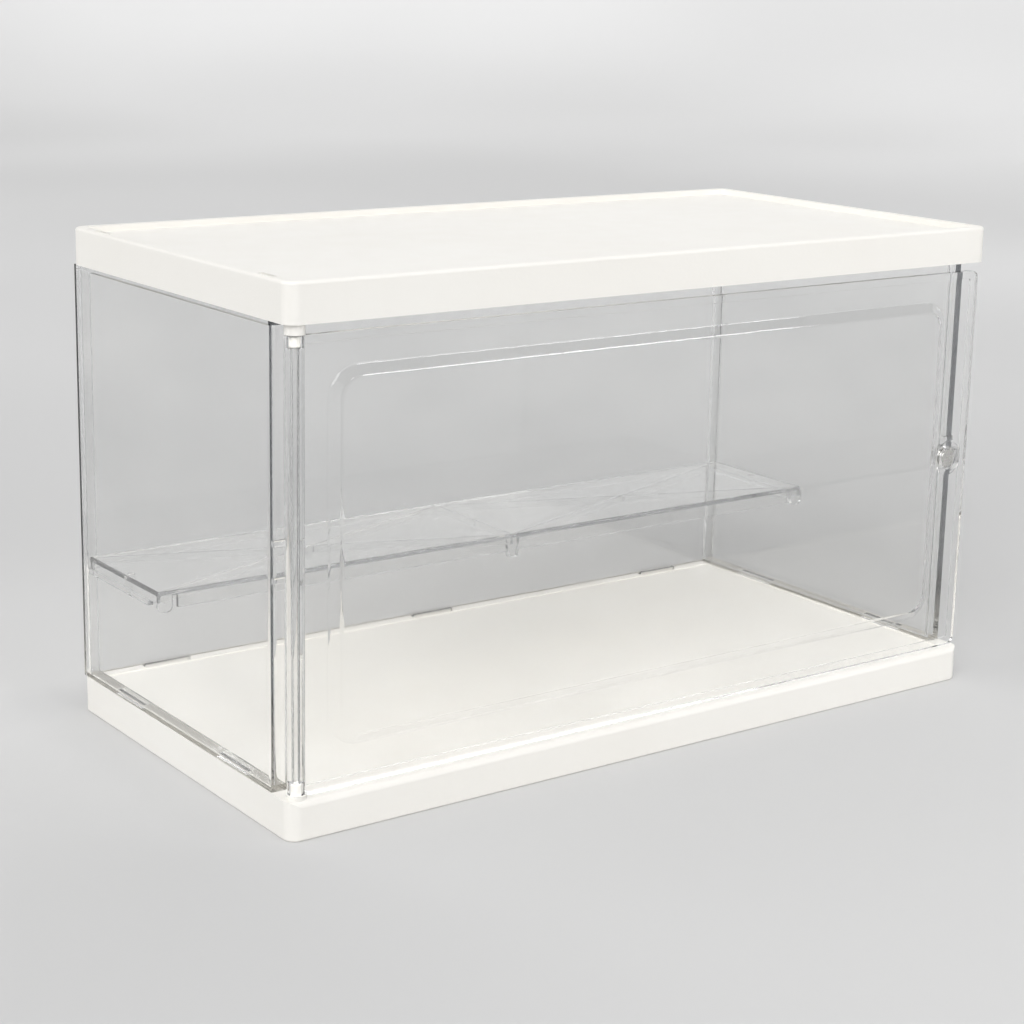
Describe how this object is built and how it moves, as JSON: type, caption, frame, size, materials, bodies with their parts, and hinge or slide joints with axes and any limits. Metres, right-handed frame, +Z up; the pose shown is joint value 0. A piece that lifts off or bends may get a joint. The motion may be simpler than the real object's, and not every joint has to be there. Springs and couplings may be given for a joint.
{
  "type": "shoe box",
  "caption": "Clear-sided stackable shoe box: white base and lid, clear panels, front door on a corner hinge column with a magnetic catch, and a half-depth shelf inside.",
  "frame": {"origin": "centre of the box's footprint, on the table", "axes": "+X to the right seen from the front, -Y out of the door side, +Z up"},
  "size_m": [0.34, 0.17, 0.2005],
  "materials": {
    "white_plastic": "satin",
    "clear_plastic": "gloss",
    "magnet_plating": "polished"
  },
  "bodies": {
    "case": {"base_tray": "white_plastic", "lid": "white_plastic", "left_side_panel": "clear_plastic", "right_side_panel": "clear_plastic", "back_panel": "clear_plastic", "catch_magnet": "magnet_plating"},
    "door_leaf": {"door": "clear_plastic", "door_magnet": "magnet_plating"},
    "shelf_body": {"shelf": "clear_plastic"}
  },
  "joints": [
    {"name": "door_hinge", "type": "hinge", "parent": "case", "child": "door_leaf", "pos_m": [-0.1645, -0.08, 0.1003], "axis": [0, 0, -1], "range_deg": [0, 180]},
    {"name": "shelf_lift", "type": "slide", "parent": "case", "child": "shelf_body", "axis": [0, 0, 1], "range_m": [0, 0.11]}
  ]
}
